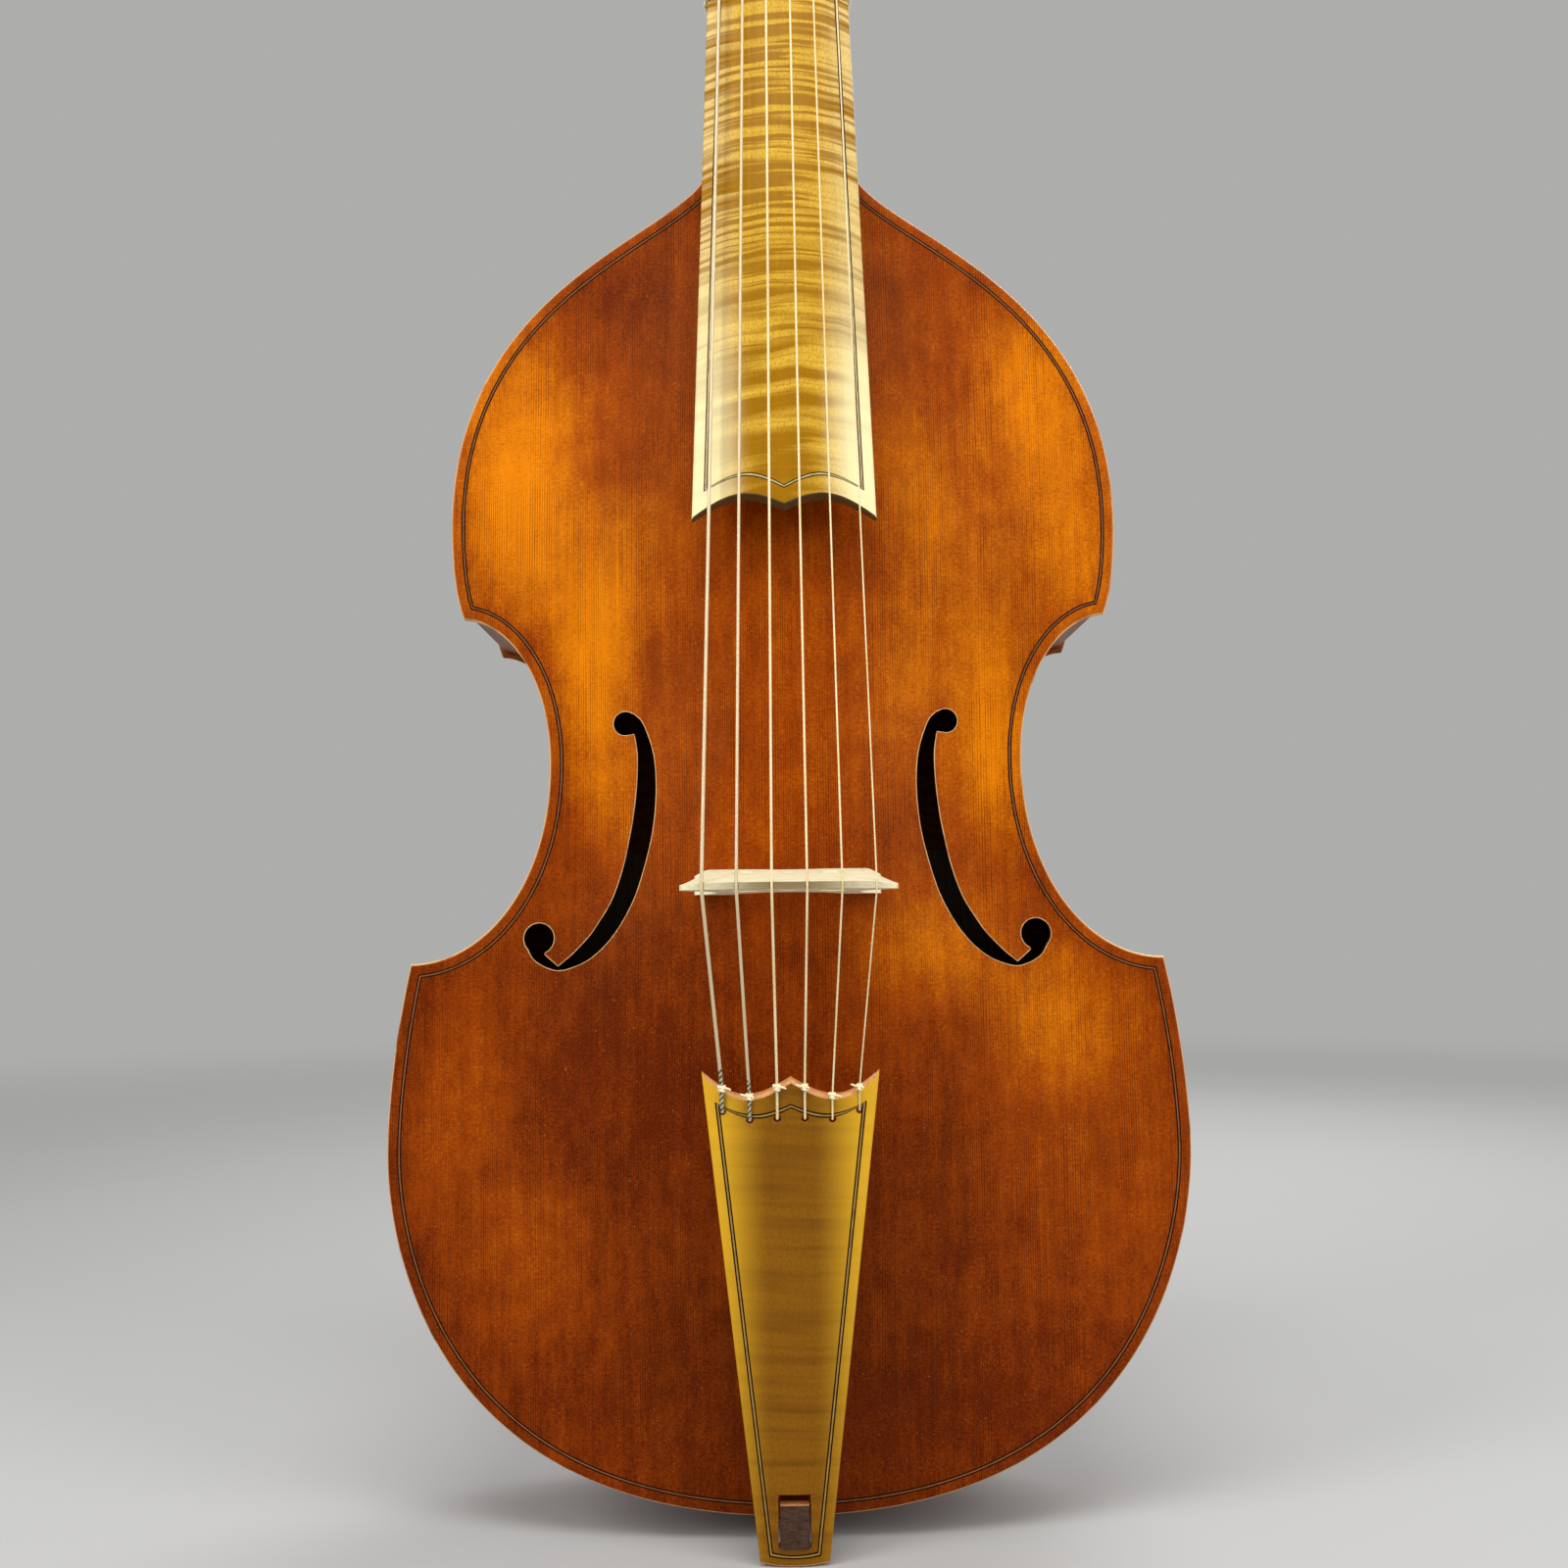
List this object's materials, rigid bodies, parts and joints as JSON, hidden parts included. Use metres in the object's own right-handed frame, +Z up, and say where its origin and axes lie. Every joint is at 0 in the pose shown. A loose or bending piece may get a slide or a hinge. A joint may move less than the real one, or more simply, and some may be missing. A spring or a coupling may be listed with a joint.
{
  "type": "viola da gamba",
  "caption": "Fretted bowed string instrument with a flat back, sloping shoulders, C-shaped sound holes, hooked tailpiece, tied gut frets and a pegbox with a scroll.",
  "frame": {"origin": "on the face under the hook bar, in line with the front face of the belly's edge, on the middle line", "axes": "+Z up the neck, +X to the treble side, +Y from the belly to the back"},
  "size_m": [0.392, 0.2244, 1.2103],
  "materials": {
    "belly_varnish": "glossy orange-brown varnish over straight-grained spruce",
    "rib_varnish": "glossy red-brown varnish over maple",
    "bare_spruce": "bare spruce",
    "pale_maple": "satin pale yellow figured maple with inlaid lines",
    "bridge_maple": "bare waxed maple",
    "dark_wood": "oiled dark hardwood",
    "gut": "smooth twisted gut",
    "wound_gut": "gut wound with fine wire"
  },
  "bodies": {
    "instrument": {"belly": "belly_varnish", "bass_bar": "bare_spruce", "back_plate": "rib_varnish", "rib_upper_bass": "rib_varnish", "rib_upper_treble": "rib_varnish", "rib_middle_bass": "rib_varnish", "rib_middle_treble": "rib_varnish", "rib_lower_bass": "rib_varnish", "rib_lower_treble": "rib_varnish", "neck_block": "bare_spruce", "end_block": "bare_spruce", "corner_block_upper_bass": "bare_spruce", "corner_block_upper_treble": "bare_spruce", "corner_block_lower_bass": "bare_spruce", "corner_block_lower_treble": "bare_spruce", "back_brace_upper": "bare_spruce", "soundpost_plate": "bare_spruce", "back_brace_lower": "bare_spruce", "soundpost": "bare_spruce", "neck": "rib_varnish", "pegbox_scroll": "rib_varnish", "fingerboard": "pale_maple", "nut": "dark_wood", "bridge": "bridge_maple", "tailpiece": "pale_maple", "hook_bar": "dark_wood", "string_1": "wound_gut", "string_2": "wound_gut", "string_3": "gut", "string_4": "gut", "string_5": "gut", "string_6": "gut"},
    "peg_1_body": {"peg_1": "dark_wood"},
    "peg_2_body": {"peg_2": "dark_wood"},
    "peg_3_body": {"peg_3": "dark_wood"},
    "peg_4_body": {"peg_4": "dark_wood"},
    "peg_5_body": {"peg_5": "dark_wood"},
    "peg_6_body": {"peg_6": "dark_wood"},
    "fret_1_body": {"fret_1": "gut"},
    "fret_2_body": {"fret_2": "gut"},
    "fret_3_body": {"fret_3": "gut"},
    "fret_4_body": {"fret_4": "gut"},
    "fret_5_body": {"fret_5": "gut"},
    "fret_6_body": {"fret_6": "gut"},
    "fret_7_body": {"fret_7": "gut"}
  },
  "joints": [
    {"name": "peg_1_turn", "type": "hinge", "parent": "instrument", "child": "peg_1_body", "pos_m": [0, 0.05717, 1.02942], "axis": [1, 0, 0], "continuous": true},
    {"name": "peg_2_turn", "type": "hinge", "parent": "instrument", "child": "peg_2_body", "pos_m": [0, 0.07089, 1.06699], "axis": [1, 0, 0], "continuous": true},
    {"name": "peg_3_turn", "type": "hinge", "parent": "instrument", "child": "peg_3_body", "pos_m": [0, 0.0846, 1.10457], "axis": [1, 0, 0], "continuous": true},
    {"name": "peg_4_turn", "type": "hinge", "parent": "instrument", "child": "peg_4_body", "pos_m": [0, 0.09146, 1.12336], "axis": [1, 0, 0], "continuous": true},
    {"name": "peg_5_turn", "type": "hinge", "parent": "instrument", "child": "peg_5_body", "pos_m": [0, 0.07774, 1.08578], "axis": [1, 0, 0], "continuous": true},
    {"name": "peg_6_turn", "type": "hinge", "parent": "instrument", "child": "peg_6_body", "pos_m": [0, 0.06403, 1.04821], "axis": [1, 0, 0], "continuous": true},
    {"name": "fret_1_slide", "type": "slide", "parent": "instrument", "child": "fret_1_body", "axis": [0, 0.1483, 0.9889], "range_m": [-0.004, 0.004]},
    {"name": "fret_2_slide", "type": "slide", "parent": "instrument", "child": "fret_2_body", "axis": [0, 0.1483, 0.9889], "range_m": [-0.004, 0.004]},
    {"name": "fret_3_slide", "type": "slide", "parent": "instrument", "child": "fret_3_body", "axis": [0, 0.1483, 0.9889], "range_m": [-0.004, 0.004]},
    {"name": "fret_4_slide", "type": "slide", "parent": "instrument", "child": "fret_4_body", "axis": [0, 0.1483, 0.9889], "range_m": [-0.004, 0.004]},
    {"name": "fret_5_slide", "type": "slide", "parent": "instrument", "child": "fret_5_body", "axis": [0, 0.1483, 0.9889], "range_m": [-0.004, 0.004]},
    {"name": "fret_6_slide", "type": "slide", "parent": "instrument", "child": "fret_6_body", "axis": [0, 0.1483, 0.9889], "range_m": [-0.004, 0.004]},
    {"name": "fret_7_slide", "type": "slide", "parent": "instrument", "child": "fret_7_body", "axis": [0, 0.1483, 0.9889], "range_m": [-0.004, 0.004]}
  ]
}
